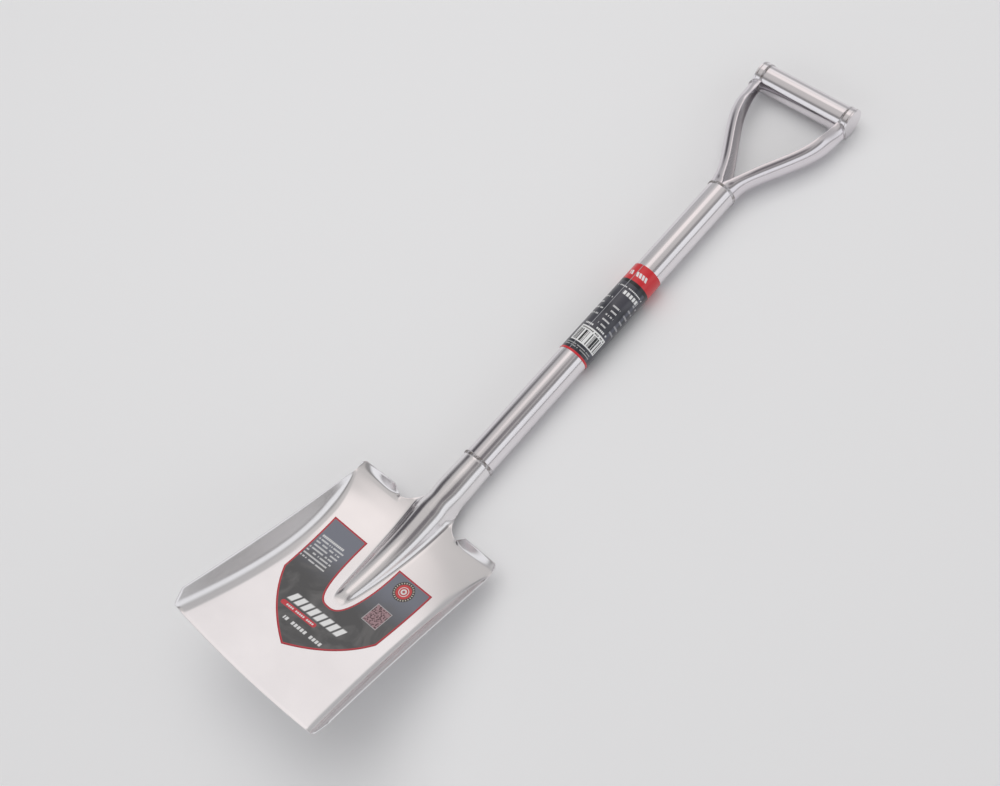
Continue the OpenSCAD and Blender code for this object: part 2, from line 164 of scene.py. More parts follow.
def frog(p):
    """Half width and height of the arch that the frog makes on the pan."""
    run = max(0, 1 - max(0, p - FROG_FROM_P) / (FROG_END_P + 3 - FROG_FROM_P))
    width = math.sqrt(FROG_HALF_W ** 2 * run + FROG_TIP_HALF_W ** 2 * (1 - run))
    height = mix(FROG_H, FROG_LOW_H, max(0, p - FROG_DROP_P) / FROG_DROP_RUN)
    return width, height * (1 - smooth(FROG_END_P - FROG_TIP_LEN, FROG_END_P, p))


def cut_edge_x(p):
    """The cut beside the socket is a superellipse from the socket's side to the tread."""
    if p >= NECK_P:
        return CUT_X
    t = max(0, (p - FLARE_P) / (NECK_P - FLARE_P))
    return CUT_X - (CUT_X - CUT_IN_X) * max(0, 1 - t ** CUT_N) ** (1 / CUT_N)


def centre_pt(k, p):
    """Across the frog, its fillet and the pan beside it, as x and z; column k counts from the crest."""
    a, b = frog(p)
    z0 = pan_z(0, p)
    if p < FROG_FROM_P:
        b += SOCKET_R - FROG_H - z0
    outer = cut_edge_x(p)
    if k <= C1:
        w = math.radians(ARCH_END * k / N_ARCH)
        return a * math.sin(w), z0 + b * math.cos(w)
    end_x = min(FILLET_END * a, mix(a, outer, FILLET_SHARE))
    if k <= C2:
        w = math.radians(ARCH_END)
        start = (a * math.sin(w), z0 + b * math.cos(w))
        knee_x = FILLET_KNEE * a
        knee = (min(knee_x, end_x), pan_z(knee_x, p))
        return bezier(start, knee, (end_x, pan_z(end_x, p)), (k - C1) / N_FILLET)
    x = mix(end_x, outer, (k - C2) / N_INNER)
    return x, pan_z(x, p)


def side_pt(k, p):
    """Across the outer pan, the bend and the side wall."""
    foot, rim = Vector((foot_x(p), foot_z(p))), Vector((rim_x(p), rim_z(p)))
    bend = min(BEND_MAX, BEND_MIN + BEND_SHARE * wall_h(p))
    lo_x = foot.x - bend
    if k <= C4:
        x = mix(CUT_X, lo_x, (k - C3) / N_OUTER)
        return x, pan_z(x, p)
    run = (rim - foot).length
    hi = foot + (rim - foot) / max(0.01, run) * min(bend, BEND_REACH * run)
    if k <= C5:
        return bezier((lo_x, pan_z(lo_x, p)), foot, hi, (k - C4) / N_BEND)
    return tuple(hi.lerp(rim, (k - C5) / N_WALL))


def pan_pt(k, p):
    return centre_pt(k, p) if k <= C3 else side_pt(k, p)


def socket_r(p):
    return mix(SOCKET_END_R, SOCKET_R, smooth(0, SOCKET_TAPER, p))


def ring_pt(k, p):
    """Round the socket from its crest to the seam underneath, which opens towards the neck."""
    share = RING_SHARE * k / C1 if k <= C1 else mix(RING_SHARE, 1, (k - C1) / (C3 - C1))
    w = math.radians(mix(90, RING_END + RING_OPENING * smooth(WRAP_P, RING_OPEN_P, p), share))
    return socket_r(p) * math.cos(w), socket_r(p) * math.sin(w)


def neck_pt(k, p):
    t = smooth(NECK_FROM_P, NECK_TO_P, p)
    if t <= 0:
        return ring_pt(k, p)
    flat = centre_pt(k, max(p, FLARE_P))
    return tuple(mix(u, v, t) for u, v in zip(ring_pt(k, p), flat))


def neck_row_p(j):
    """Stations of the rows from the socket's end to the treads' bend line."""
    if j <= N_RING:
        return WRAP_P * j / N_RING
    if j <= N_RING + N_WRAP:
        return mix(WRAP_P, FLARE_P, (j - N_RING) / N_WRAP)
    if j < N_SOCKET:
        return FLARE_P + (NECK_P - FLARE_P) * math.sin(math.pi / 2 * (j - N_RING - N_WRAP) / N_NECK)
    return TREAD_P


def mouth_end(k):
    """Station of the mouth edge at column k: it bows forward, and the walls' front edges lean back."""
    near_p = MOUTH_P - 10
    bow = MOUTH_BOW * min(1, pan_pt(k, near_p)[0] / foot_x(near_p)) ** 2
    wall = max(0, (k - C4) / (N_HALF - C4))
    slant = max(0, (wall - SLANT_FROM) / (1 - SLANT_FROM)) ** CORNER_BEND
    return MOUTH_P - bow - CORNER_STEP * wall - FRONT_SLANT * slant


def tread_pt(k, j):
    """A foot tread bends up from the shoulder; near its inner end it follows a slanted edge."""
    t = (N_SOCKET - j) / N_TREAD
    root, first = pan_pt(k, TREAD_P), pan_pt(C3 + 1, TREAD_P)[0]
    if t <= 0:
        return root[0], -TREAD_P, root[1]
    across = (root[0] - first) / (RIM_HALF_W - first)
    in_x = first + TREAD_IN * t
    x = mix(in_x, RIM_HALF_W - TREAD_NARROWING * t, across)
    edge_p = TREAD_EDGE_P + CORNER_DROP * (max(0, x - CORNER_X) / CORNER_RUN) ** CORNER_POWER
    rise = (math.hypot(t, TREAD_BEND) - TREAD_BEND) / (math.hypot(1, TREAD_BEND) - TREAD_BEND)
    plain = (x, -mix(TREAD_P, edge_p, t), mix(root[1], TREAD_TOP_Z, rise))
    slant = (mix(CUT_X, SLANT_X, t), -mix(NECK_P, SLANT_P, t), mix(pan_z(CUT_X, NECK_P), TREAD_TOP_Z, t))
    near = math.exp(-((x - in_x) / SLANT_SPREAD) ** 2)
    return tuple(mix(u, v, near) for u, v in zip(plain, slant))


def blade_pt(i, j):
    """Column i counts from the crest to either side, row j from the socket's end."""
    k = abs(i)
    if j >= N_SOCKET:
        p = mix(TREAD_P, mouth_end(k), (j - N_SOCKET) / N_PAN)
        x, z = pan_pt(k, p)
        y = -p
    elif k <= C3:
        p = neck_row_p(j)
        x, z = neck_pt(k, p)
        y = -p
    else:
        x, y, z = tread_pt(k, max(j, N_SOCKET - N_TREAD))
    return place(-x if i < 0 else x, y, z)


def is_metal(i, j):
    """Whether the quad at this column and row is sheet; beside the socket and at the cuts there is none."""
    if j >= N_SOCKET or -C3 <= i < C3:
        return True
    return j == N_SOCKET - 1 or j >= N_SOCKET - N_TREAD and (i < -C3 - 1 or i > C3)


# ---- The handle's shape, as in the CAD ------------------------------------------------------------
# The arms' lips and backs lean out and stand up again; u runs from the yoke weld towards the grip.
ARM_GAP, LEAN, FOOT_LEAN = 0.1, 0.61, 0.43
LOW_SPLIT, LOW_OUT, HIGH_KNEE, HIGH_OUT, BACK_OUT, BACK_UP = 23, 125, 44, 108, 20.5, 109
CROTCH_ROUND, FOOT_ROUND, KNEE_ROUND = 4, 14, 26
SLIT_FROM, SLIT_TO = -1, 12         # the slit tube opens between these
ARM_MID_H, ARM_TIP_H, ARM_WALL = 17.3, 12, 1.8
SWELL_END, TAPER_FROM, TAPER_END = 40, 118, 150
TUBE_WALL, SWAGE_STEP, SHAFT_EDGE = 1.5, 1.3, 1.6
CAP_R, CAP_T, COLLAR_R, COLLAR_X = 18.6, 2.5, 18.5, 60


def ramp(u, w):
    """A line through 0 with a rounded start."""
    return (u + math.hypot(u, w)) / 2


def low_lip_x(u):
    return max(ARM_GAP, LEAN * (ramp(u - LOW_SPLIT, FOOT_ROUND) - ramp(u - LOW_OUT, KNEE_ROUND)))


def high_lip_x(u):
    rise = FOOT_LEAN * ramp(u, CROTCH_ROUND) + (LEAN - FOOT_LEAN) * ramp(u - HIGH_KNEE, FOOT_ROUND)
    return max(ARM_GAP, rise - LEAN * ramp(u - HIGH_OUT, KNEE_ROUND))


def arm_back_x(u):
    return SHAFT_R + LEAN * (ramp(u - BACK_OUT, FOOT_ROUND) - ramp(u - BACK_UP, KNEE_ROUND))


def arm_half_h(u):
    middle = mix(SHAFT_R, ARM_MID_H, smooth(0, SWELL_END, u))
    return mix(middle, ARM_TIP_H, smooth(TAPER_FROM, TAPER_END, u))


def arm_section(w, u, inset=0.0):
    """A point of the arm's section: w runs from the lower lip over the back to the upper lip."""
    opening = smooth(SLIT_FROM, SLIT_TO, u)
    lip = mix(low_lip_x(u), high_lip_x(u), (1 + math.sin(w)) / 2)
    middle = mix(low_lip_x(u), high_lip_x(u), 0.5)
    depth = arm_back_x(u) - mix(ARM_GAP, middle, opening)
    x = mix(ARM_GAP, lip, opening) + (depth - inset) * math.cos(w)
    return x, (arm_half_h(u) - inset) * math.sin(w)


def saddle_q(z):
    """Where an arm's end meets the round collar."""
    return GRIP_Q - math.sqrt(COLLAR_R ** 2 - z * z)


# ---- Helpers for meshes ---------------------------------------------------------------------------
def mesh_piece(name, points, faces, material, replaces, solid=True):
    mesh = bpy.data.meshes.new(name)
    mesh.from_pydata([tuple(v) for v in points], [], faces)
    bm = bmesh.new()
    bm.from_mesh(mesh)
    bmesh.ops.remove_doubles(bm, verts=bm.verts, dist=1e-7)
    bmesh.ops.delete(bm, geom=[v for v in bm.verts if not v.link_faces], context="VERTS")
    if solid:
        bmesh.ops.recalc_face_normals(bm, faces=bm.faces)
    bm.to_mesh(mesh)
    bm.free()
    mesh.shade_smooth()
    piece = bpy.data.objects.new(name, mesh)
    bpy.context.scene.collection.objects.link(piece)
    mesh.materials.append(material)
    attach(piece, "root")
    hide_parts(*replaces)
    return piece


def round_edges(piece, width):
    bevel = piece.modifiers.new("edge", "BEVEL")
    bevel.width, bevel.segments, bevel.limit_method = width * MM, 2, "ANGLE"
    bevel.angle_limit = math.radians(50)
    bevel.use_clamp_overlap = True


def grid_faces(rows, columns, closed=False):
    """Quads over rows of points; closed joins each row's last point to its first."""
    faces = []
    for j in range(rows - 1):
        for i in range(columns if closed else columns - 1):
            n = (i + 1) % columns
            low, high = j * columns, (j + 1) * columns
            faces.append((low + i, low + n, high + n, high + i))
    return faces


def torus_faces(rings, count):
    """Quads over closed rings of points, with the last ring joined to the first."""
    last = (rings - 1) * count
    closing = [(last + i, last + (i + 1) % count, (i + 1) % count, i) for i in range(count)]
    return grid_faces(rings, count, closed=True) + closing


def rounded(corners, radius):
    """The closed outline with each corner replaced by an arc between two support points."""
    steps, support, longest = 4, 1.2, 0.4
    out = []
    for i, corner in enumerate(corners):
        here = Vector(corner)
        back, ahead = Vector(corners[i - 1]) - here, Vector(corners[(i + 1) % len(corners)]) - here
        r = min(radius, longest * back.length, longest * ahead.length)
        back.normalize()
        ahead.normalize()
        arc = [bezier(here + back * r, here, here + ahead * r, k / steps) for k in range(steps + 1)]
        out += [tuple(here + back * support * r)] + arc + [tuple(here + ahead * support * r)]
    return out


def round_axis(origin, along, w, radius, run):
    """A point at angle w round an axis, radius out from it and run along it, which is 'x', '-x' or 'y'."""
    x, y, z = origin
    c, d = radius * math.cos(w), radius * math.sin(w)
    if along == "y":
        return place(x + c, y + run, z + d)
    return place(x + (run if along == "x" else -run), y + c, z + d)


def turned(name, outline, origin, along, material, replaces):
    """A turned piece from an outline of (radius, distance along the axis) pairs."""
    segments = 128
    points = []
    for step in range(segments):
        w = 2 * math.pi * step / segments
        points += [round_axis(origin, along, w, radius, run) for radius, run in outline]
    return mesh_piece(name, points, torus_faces(segments, len(outline)), material, replaces)


BEAD_FOOT = 0.25                    # a ring's foot lies this far under the tube's surface
SCALE_BOW, SCALE_DEPTH = 0.35, 0.30


def ripple(turn, across):
    """Height of a weld bead's overlapping scales: turn counts the scales, across runs from -1 to 1."""
    phase = (turn + SCALE_BOW * across * across) % 1.0
    return 1 - SCALE_DEPTH + SCALE_DEPTH * (1 - phase) ** 0.6 * min(1, phase * 7)


def weld_ring(name, origin, along, radius, width, height, scales, replaces):
    """A bead round a tube, half round in section, which wanders a little."""
    steps, around = 12, scales * 9
    points = []
    for step in range(around):
        w = 2 * math.pi * step / around
        wander = 0.09 * math.sin(3 * w + 1) + 0.05 * math.sin(7 * w)
        for k in range(steps + 1):
            v = math.pi * (k / steps - 0.5)
            scale = ripple(scales * w / (2 * math.pi), math.sin(v))
            r = radius - BEAD_FOOT + (height + BEAD_FOOT) * math.cos(v) ** 0.8 * (scale + wander * 0.4)
            run = width / 2 * math.sin(v) * (1 + wander)
            points.append(round_axis(origin, along, w, r, run))
    return mesh_piece(name, points, torus_faces(around, steps + 1), weld_steel, replaces)


def weld_run(name, path, radius, scales, replaces, material, side=1):
    """A bead along a path of (x, y, z) points with round ends; each circle keeps the last one's turn."""
    around, last = 16, len(path) - 1
    points = []
    for j, point in enumerate(path):
        here = Vector(point)
        ahead = (Vector(path[min(j + 1, last)]) - Vector(path[max(j - 1, 0)])).normalized()
        first = ahead.orthogonal().normalized()
        if j and first.dot(previous) < 0.99:
            first = (previous - ahead * previous.dot(ahead)).normalized()
        previous = first
        second = ahead.cross(first)
        taper = max(0.05, math.sqrt(max(0, 1 - (2 * j / last - 1) ** 16)))
        for k in range(around):
            w = 2 * math.pi * k / around
            r = radius * taper * ripple(scales * j / last, math.sin(w))
            v = here + first * r * math.cos(w) + second * r * math.sin(w)
            points.append(place(side * v.x, v.y, v.z))
    faces = grid_faces(last + 1, around, closed=True)
    faces += [tuple(range(around)), tuple(last * around + k for k in range(around))]
    return mesh_piece(name, points, faces, material, replaces)


# ---- Pieces ---------------------------------------------------------------------------------------
def make_blade():
    across = 2 * N_HALF + 1
    points = [blade_pt(i, j) for j in range(N_ROWS + 1) for i in range(-N_HALF, N_HALF + 1)]
    faces = []
    for j in range(N_ROWS):
        for i in range(-N_HALF, N_HALF):
            if is_metal(i, j):
                a = j * across + i + N_HALF
                faces.append((a, a + across, a + across + 1, a + 1))
    blade = mesh_piece("blade_sheet", points, faces, blade_steel, ["blade"], solid=False)
    sheet = blade.modifiers.new("sheet", "SOLIDIFY")
    sheet.thickness, sheet.offset, sheet.use_even_offset = SHEET_T * MM, -1, True
    round_edges(blade, 0.45)


def make_arm(side, name):
    """One half of the slit tube: its section runs over the back from lip to lip and returns inside."""
    rounds, rows = 36, 110
    points = []
    for j in range(rows + 1):
        for k in range(2 * rounds + 2):
            inner = k > rounds
            w = math.pi * ((2 * rounds + 1 - k if inner else k) / rounds - 0.5)
            q = mix(SHAFT_LEN, saddle_q(ARM_TIP_H * math.sin(w)), j / rows)
            x, z = arm_section(w, q - SHAFT_LEN, ARM_WALL if inner else 0)
            points.append(place(side * x, q, z))
    count = 2 * rounds + 2
    faces = grid_faces(rows + 1, count, closed=True)
    for base in (0, rows * count):
        end = base + count - 1
        faces += [(base + k, base + k + 1, end - 1 - k, end - k) for k in range(rounds)]
    arm = mesh_piece("arm_" + name, points, faces, arm_steel, ["yoke_arm_" + name])
    # The inner faces take a darker copy of the steel. It is rougher because the inside is unpolished, and
    # darker as painted shade in the tube's hollow.
    arm.data.materials.append(arm_inside_painted_shade)
    for face in arm.data.polygons:
        face.material_index = int(face.index < rows * count and face.index % count > rounds)
    round_edges(arm, 0.4)


def make_arm_weld(side, name):
    """The bead round an arm's end, over its back and down both sides, against the collar."""
    steps, end_w, tip_depth, bead_out = 90, 72, 14, 0.25
    path = []
    for k in range(steps + 1):
        w = math.radians(mix(-end_w, end_w, k / steps))
        x, z = arm_section(w, GRIP_Q - COLLAR_R - SHAFT_LEN)
        out = Vector((math.cos(w) * ARM_TIP_H, math.sin(w) * tip_depth)).normalized()
        z += bead_out * out.y
        path.append((x + bead_out * out.x, saddle_q(z) - 0.5, z))
    weld_run("arm_bead_" + name, path, 1.7, 13, ["arm_weld_" + name], buffed_weld, side)


def make_seam():
    """The bead along the socket's seam, on its underside."""
    steps, first_p = 60, 2
    path = [(0, -mix(first_p, WRAP_P - 1, k / steps), -socket_r(mix(first_p, WRAP_P, k / steps)) - 0.02)
            for k in range(steps + 1)]
    weld_run("seam_bead", path, 1.15, 12, ["seam_weld"], weld_steel)


def make_tubes():
    bore, swaged = SHAFT_R - TUBE_WALL, SHAFT_R - SWAGE_STEP
    shaft = [(0, -SWAGE), (swaged - 1, -SWAGE), (swaged, 1 - SWAGE), (swaged, 0), (SHAFT_R, SHAFT_EDGE),
             (SHAFT_R, SHAFT_LEN), (bore, SHAFT_LEN), (bore, 3), (bore - SWAGE_STEP, 0.5),
             (bore - SWAGE_STEP, TUBE_WALL - SWAGE), (0, TUBE_WALL - SWAGE)]
    turned("shaft", rounded(shaft, 0.35), (0, 0, 0), "y", tube_steel, ["shaft_tube"])
    inner = GRIP_R - TUBE_WALL
    grip = rounded([(inner, 0), (GRIP_R, 0), (GRIP_R, 2 * CAP_X), (inner, 2 * CAP_X)], 0.3)
    turned("grip", grip, (-CAP_X, GRIP_Q, 0), "x", grip_steel, ["grip_tube"])
    width = CAP_X - COLLAR_X
    collar = rounded([(GRIP_R, 0), (COLLAR_R, 0), (COLLAR_R, width), (GRIP_R, width)], 0.35)
    cap = rounded([(0, 0), (CAP_R, 0), (CAP_R, CAP_T), (0, CAP_T)], 0.55)
    for side, name in ((1, "right"), (-1, "left")):
        along = "x" if side > 0 else "-x"
        collar_at, cap_at = (side * COLLAR_X, GRIP_Q, 0), (side * CAP_X, GRIP_Q, 0)
        bead_at = (side * (COLLAR_X - 1.2), GRIP_Q, 0)
        turned("collar_" + name, collar, collar_at, along, grip_steel, ["grip_collar_" + name])
        turned("cap_" + name, cap, cap_at, along, grip_steel, ["end_cap_" + name])
        weld_ring("collar_bead_" + name, bead_at, "x", GRIP_R, 4, 1.0, 24, ["collar_weld_" + name])
        weld_ring("cap_bead_" + name, cap_at, "x", COLLAR_R - 0.1, 1.3, 0.32, 40, ["cap_weld_" + name])
    weld_ring("socket_bead", (0, 0, 0), "y", SHAFT_R + 0.2, 4.4, 1.15, 34, ["socket_weld"])
    weld_ring("yoke_bead", (0, SHAFT_LEN + 0.3, 0), "y", SHAFT_R, 4.0, 1.1, 32, ["yoke_weld"])


# ---- The two labels -------------------------------------------------------------------------------
LABEL_Q = ((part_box("shaft_label")[0].y - WELD_Y) / MM, (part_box("shaft_label")[1].y - WELD_Y) / MM)
STICKER_TOP_P, STICKER_W, CORNER_W, CORNER_P, TIP_P = 150, 75, 71, 228, 291
SHIELD_X, SHIELD_P = 50, 266        # the shield's lower sides are drawn towards this point
NOTCH_W, NOTCH_P, NOTCH_POWER, STICKER_LEAN = 25, 230, 0.7, 4.8
STICKER_T, STICKER_GAP = 0.25, 0.04
SLEEVE_T, SLEEVE_GAP = 0.5, 0.02


def make_sleeve():
    (lo, hi), inner, outer = LABEL_Q, SHAFT_R + SLEEVE_GAP, SHAFT_R + SLEEVE_T
    outline = rounded([(inner, lo), (outer, lo), (outer, hi), (inner, hi)], 0.15)
    turned("sleeve", outline, (0, 0, 0), "y", sleeve_print_and_highlight(), ["shaft_label"])


def sticker_xp(i, j, runs, bands):
    """Bands run from the notch round the frog's end out to the shield's outline, runs along them."""
    s, t = 1 - abs(i) / runs, j / bands
    notch_x = NOTCH_W * max(0, math.cos(math.pi / 2 * s)) ** NOTCH_POWER
    notch_p = mix(STICKER_TOP_P, NOTCH_P, math.sin(math.pi / 2 * s))
    if s <= 0.5:
        shield = (mix(STICKER_W, CORNER_W, 2 * s), mix(STICKER_TOP_P, CORNER_P, 2 * s))
    else:
        shield = bezier((CORNER_W, CORNER_P), (SHIELD_X, SHIELD_P), (0, TIP_P), 2 * s - 1)
    x, p = mix(notch_x, shield[0], t), mix(notch_p, shield[1], t)
    return (-x if i < 0 else x) - STICKER_LEAN * (TIP_P - p) / (TIP_P - STICKER_TOP_P), p


def make_sticker():
    """A thin film on the pan; each point carries its distance to the outline, for the print's border."""
    runs, bands = 72, 34
    flat = [sticker_xp(i, j, runs, bands) for j in range(bands + 1) for i in range(-runs, runs + 1)]
    count = 2 * runs + 1
    edge = [i for i in range(count)] + [j * count + count - 1 for j in range(1, bands + 1)]
    edge += [bands * count + i for i in reversed(range(count - 1))]
    edge += [j * count for j in reversed(range(1, bands))]
    rim = [flat[i] for i in edge + edge[:1]]

    def to_rim(x, p):
        best = 99.0
        for (ax, ap), (bx, bp) in zip(rim, rim[1:]):
            dx, dp = bx - ax, bp - ap
            size = dx * dx + dp * dp
            t = clamp(((x - ax) * dx + (p - ap) * dp) / size) if size > 1e-12 else 0
            best = min(best, math.hypot(x - ax - t * dx, p - ap - t * dp))
        return best

    faces = grid_faces(bands + 1, count)
    points = [place(x, -p, pan_z(x, p) + STICKER_GAP) for x, p in flat]
    lift = Vector((0, 0, STICKER_T * MM))
    total = len(points)
    faces += [tuple(total + k for k in reversed(face)) for face in faces]
    faces += [(a, b, total + b, total + a) for a, b in zip(edge, edge[1:] + edge[:1])]
    points += [v + lift for v in points]
    sticker = mesh_piece("sticker", points, faces, sticker_print(), ["blade_sticker"])
    values = sticker.data.attributes.new("to_rim", "FLOAT", "POINT")
    for vertex, value in zip(sticker.data.vertices, values.data):
        value.value = to_rim(vertex.co.x / MM, (WELD_Y - vertex.co.y) / MM)


# ---- Materials -----------------------------------------------------------------------------------
def add(tree, kind, inputs=None, **settings):
    """Adds a node, sets its options, and links or sets its inputs."""
    new = tree.nodes.new(kind)
    for key, value in settings.items():
        setattr(new, key, value)
    for key, value in (inputs or {}).items():
        if isinstance(value, bpy.types.NodeSocket):
            tree.links.new(value, new.inputs[key])
        else:
            new.inputs[key].default_value = value
    return new.outputs


def calc(tree, operation, a, b=0.0):
    return add(tree, "ShaderNodeMath", {0: a, 1: b}, operation=operation)[0]


def hypot(tree, a, b):
    return calc(tree, "SQRT", calc(tree, "ADD", calc(tree, "MULTIPLY", a, a), calc(tree, "MULTIPLY", b, b)))


def remap(tree, value, lo, hi, to_lo=0.0, to_hi=1.0):
    return add(tree, "ShaderNodeMapRange", {0: value, 1: lo, 2: hi, 3: to_lo, 4: to_hi})[0]


def fade(tree, value, lo, hi):
    """0 at lo and 1 at hi, with a soft start and end."""
    return add(tree, "ShaderNodeMapRange", {0: value, 1: lo, 2: hi}, interpolation_type="SMOOTHSTEP")[0]


def noise(tree, coords, size, detail, **inputs):
    return add(tree, "ShaderNodeTexNoise", {"Vector": coords, "Scale": size, "Detail": detail, **inputs})[0]


def blend(tree, factor, a, b):
    new = tree.nodes.new("ShaderNodeMix")
    new.data_type = "RGBA"
    for key, value in ((0, factor), (6, a), (7, b)):
        if isinstance(value, bpy.types.NodeSocket):
            tree.links.new(value, new.inputs[key])
        else:
            new.inputs[key].default_value = value
    return new.outputs[2]


def new_material(name):
    material = bpy.data.materials.new(name)
    material.use_nodes = True
    tree = material.node_tree
    tree.nodes.clear()
    surface = tree.nodes.new("ShaderNodeBsdfPrincipled")
    output = tree.nodes.new("ShaderNodeOutputMaterial")
    tree.links.new(surface.outputs[0], output.inputs[0])
    return material, tree, surface


def steel(name, tint, roughness, grain, grain_depth, wave, wave_size):
    """Polished stainless steel with grain along one direction, faint clouds and a soft waviness."""
    material, tree, surface = new_material(name)
    coords = add(tree, "ShaderNodeTexCoord")["Object"]
    stretched = add(tree, "ShaderNodeMapping", {"Vector": coords, "Scale": grain})[0]
    lines = noise(tree, stretched, 1.0, 4.0, Roughness=0.7)
    cloud = noise(tree, coords, 9.0, 3.0, Roughness=0.55)
    smudge = remap(tree, cloud, 0.35, 0.7)
    dark = tuple(c * 0.96 for c in tint)
    tree.links.new(blend(tree, smudge, (*tint, 1), (*dark, 1)), surface.inputs["Base Color"])
    surface.inputs["Metallic"].default_value = 1.0
    spread = remap(tree, cloud, 0.3, 0.7, roughness - 0.02, roughness + 0.03)
    streaks = remap(tree, lines, 0.3, 0.7, -0.025, 0.025)
    tree.links.new(calc(tree, "ADD", streaks, spread), surface.inputs["Roughness"])
    waves = calc(tree, "MULTIPLY", noise(tree, coords, wave_size, 1.0), wave)
    height = calc(tree, "ADD", calc(tree, "MULTIPLY", lines, grain_depth), waves)
    bump = add(tree, "ShaderNodeBump", {"Height": height, "Strength": 1.0, "Distance": 0.001})[0]
    tree.links.new(bump, surface.inputs["Normal"])
    return material


def weld_metal(name, bright, dark):
    """Weld metal with patches of a darker heat tint and a fine grit."""
    material, tree, surface = new_material(name)
    coords = add(tree, "ShaderNodeTexCoord")["Object"]
    grit = noise(tree, coords, 900.0, 3.0)
    heat = remap(tree, noise(tree, coords, 160.0, 2.0), 0.42, 0.62)
    colour = blend(tree, heat, (*bright, 1), (*dark, 1))
    tree.links.new(colour, surface.inputs["Base Color"])
    surface.inputs["Metallic"].default_value = 1.0
    tree.links.new(remap(tree, grit, 0.3, 0.7, 0.22, 0.42), surface.inputs["Roughness"])
    bump = add(tree, "ShaderNodeBump", {"Height": grit, "Strength": 0.35, "Distance": 0.0002})[0]
    tree.links.new(bump, surface.inputs["Normal"])
    return material


def strip(tree, value, lo, hi, soft=0.12):
    """1 between lo and hi, 0 outside."""
    up = remap(tree, value, lo - soft, lo + soft)
    down = remap(tree, value, hi - soft, hi + soft, 1.0, 0.0)
    return calc(tree, "MULTIPLY", up, down)


def panel(tree, u, v, u_lo, u_hi, v_lo, v_hi):
    return calc(tree, "MULTIPLY", strip(tree, u, u_lo, u_hi), strip(tree, v, v_lo, v_hi))


def dash_rows(tree, u, v, u_lo, u_hi, v_lo, v_hi, pitch, cell, share, seed, fill=0.5):
    """Rows of short dashes of uneven length, where a label would carry small print."""
    rows = calc(tree, "DIVIDE", calc(tree, "SUBTRACT", v, v_lo), pitch)
    cells = calc(tree, "DIVIDE", u, cell)
    row, column = calc(tree, "FLOOR", rows), calc(tree, "FLOOR", cells)
    key = add(tree, "ShaderNodeCombineXYZ", {0: column, 1: row, 2: seed})[0]
    chance = add(tree, "ShaderNodeTexWhiteNoise", {"Vector": key}, noise_dimensions="3D")[0]
    shown = calc(tree, "LESS_THAN", chance, share)
    line = strip(tree, calc(tree, "FRACT", rows), 0.5 - fill / 2, 0.5 + fill / 2, 0.06)
    stroke = strip(tree, calc(tree, "FRACT", cells), 0.08, 0.80, 0.06)
    inside = panel(tree, u, v, u_lo, u_hi, v_lo, v_hi)
    dashes = calc(tree, "MULTIPLY", shown, line)
    return calc(tree, "MULTIPLY", dashes, calc(tree, "MULTIPLY", stroke, inside))


def film(name):
    """A glossy printed film: its material, node tree, shader and coordinates, and x, q and z in mm."""
    material, tree, surface = new_material(name)
    coords = add(tree, "ShaderNodeTexCoord")["Object"]
    x, y, z = add(tree, "ShaderNodeSeparateXYZ", {0: coords})[:3]
    x_mm = calc(tree, "DIVIDE", x, MM)
    q_mm = calc(tree, "DIVIDE", calc(tree, "SUBTRACT", y, WELD_Y), MM)
    z_mm = calc(tree, "DIVIDE", calc(tree, "SUBTRACT", z, AXIS_Z), MM)
    surface.inputs["Roughness"].default_value = 0.30
    surface.inputs["Coat Weight"].default_value = 0.35
    surface.inputs["Coat Roughness"].default_value = 0.12
    creases = noise(tree, coords, 45.0, 2.0)
    bump = add(tree, "ShaderNodeBump", {"Height": creases, "Strength": 0.25, "Distance": 0.001})[0]
    tree.links.new(bump, surface.inputs["Normal"])
    return material, tree, surface, coords, x_mm, q_mm, z_mm


def paint(tree, surface, base, layers):
    """Lays each layer's tone over the ones before it, where its mask is 1."""
    colour = base
    for mask, tone in layers:
        top = tone if isinstance(tone, bpy.types.NodeSocket) else (*tone, 1)
        colour = blend(tree, mask, colour, top)
    tree.links.new(colour, surface.inputs["Base Color"])


RED, WHITE = (0.62, 0.018, 0.028), (0.80, 0.80, 0.80)
BLACK, INK = (0.012, 0.012, 0.014), (0.022, 0.024, 0.034)
PRINT_LEAN = 0.35                   # how far the slanted blocks lean
RING_X, RING_P = 42.8, 165.6        # the middle of the ring mark
PILL_X, PILL_HALF_W, PILL_V = -16.5, 22.0, 255.6
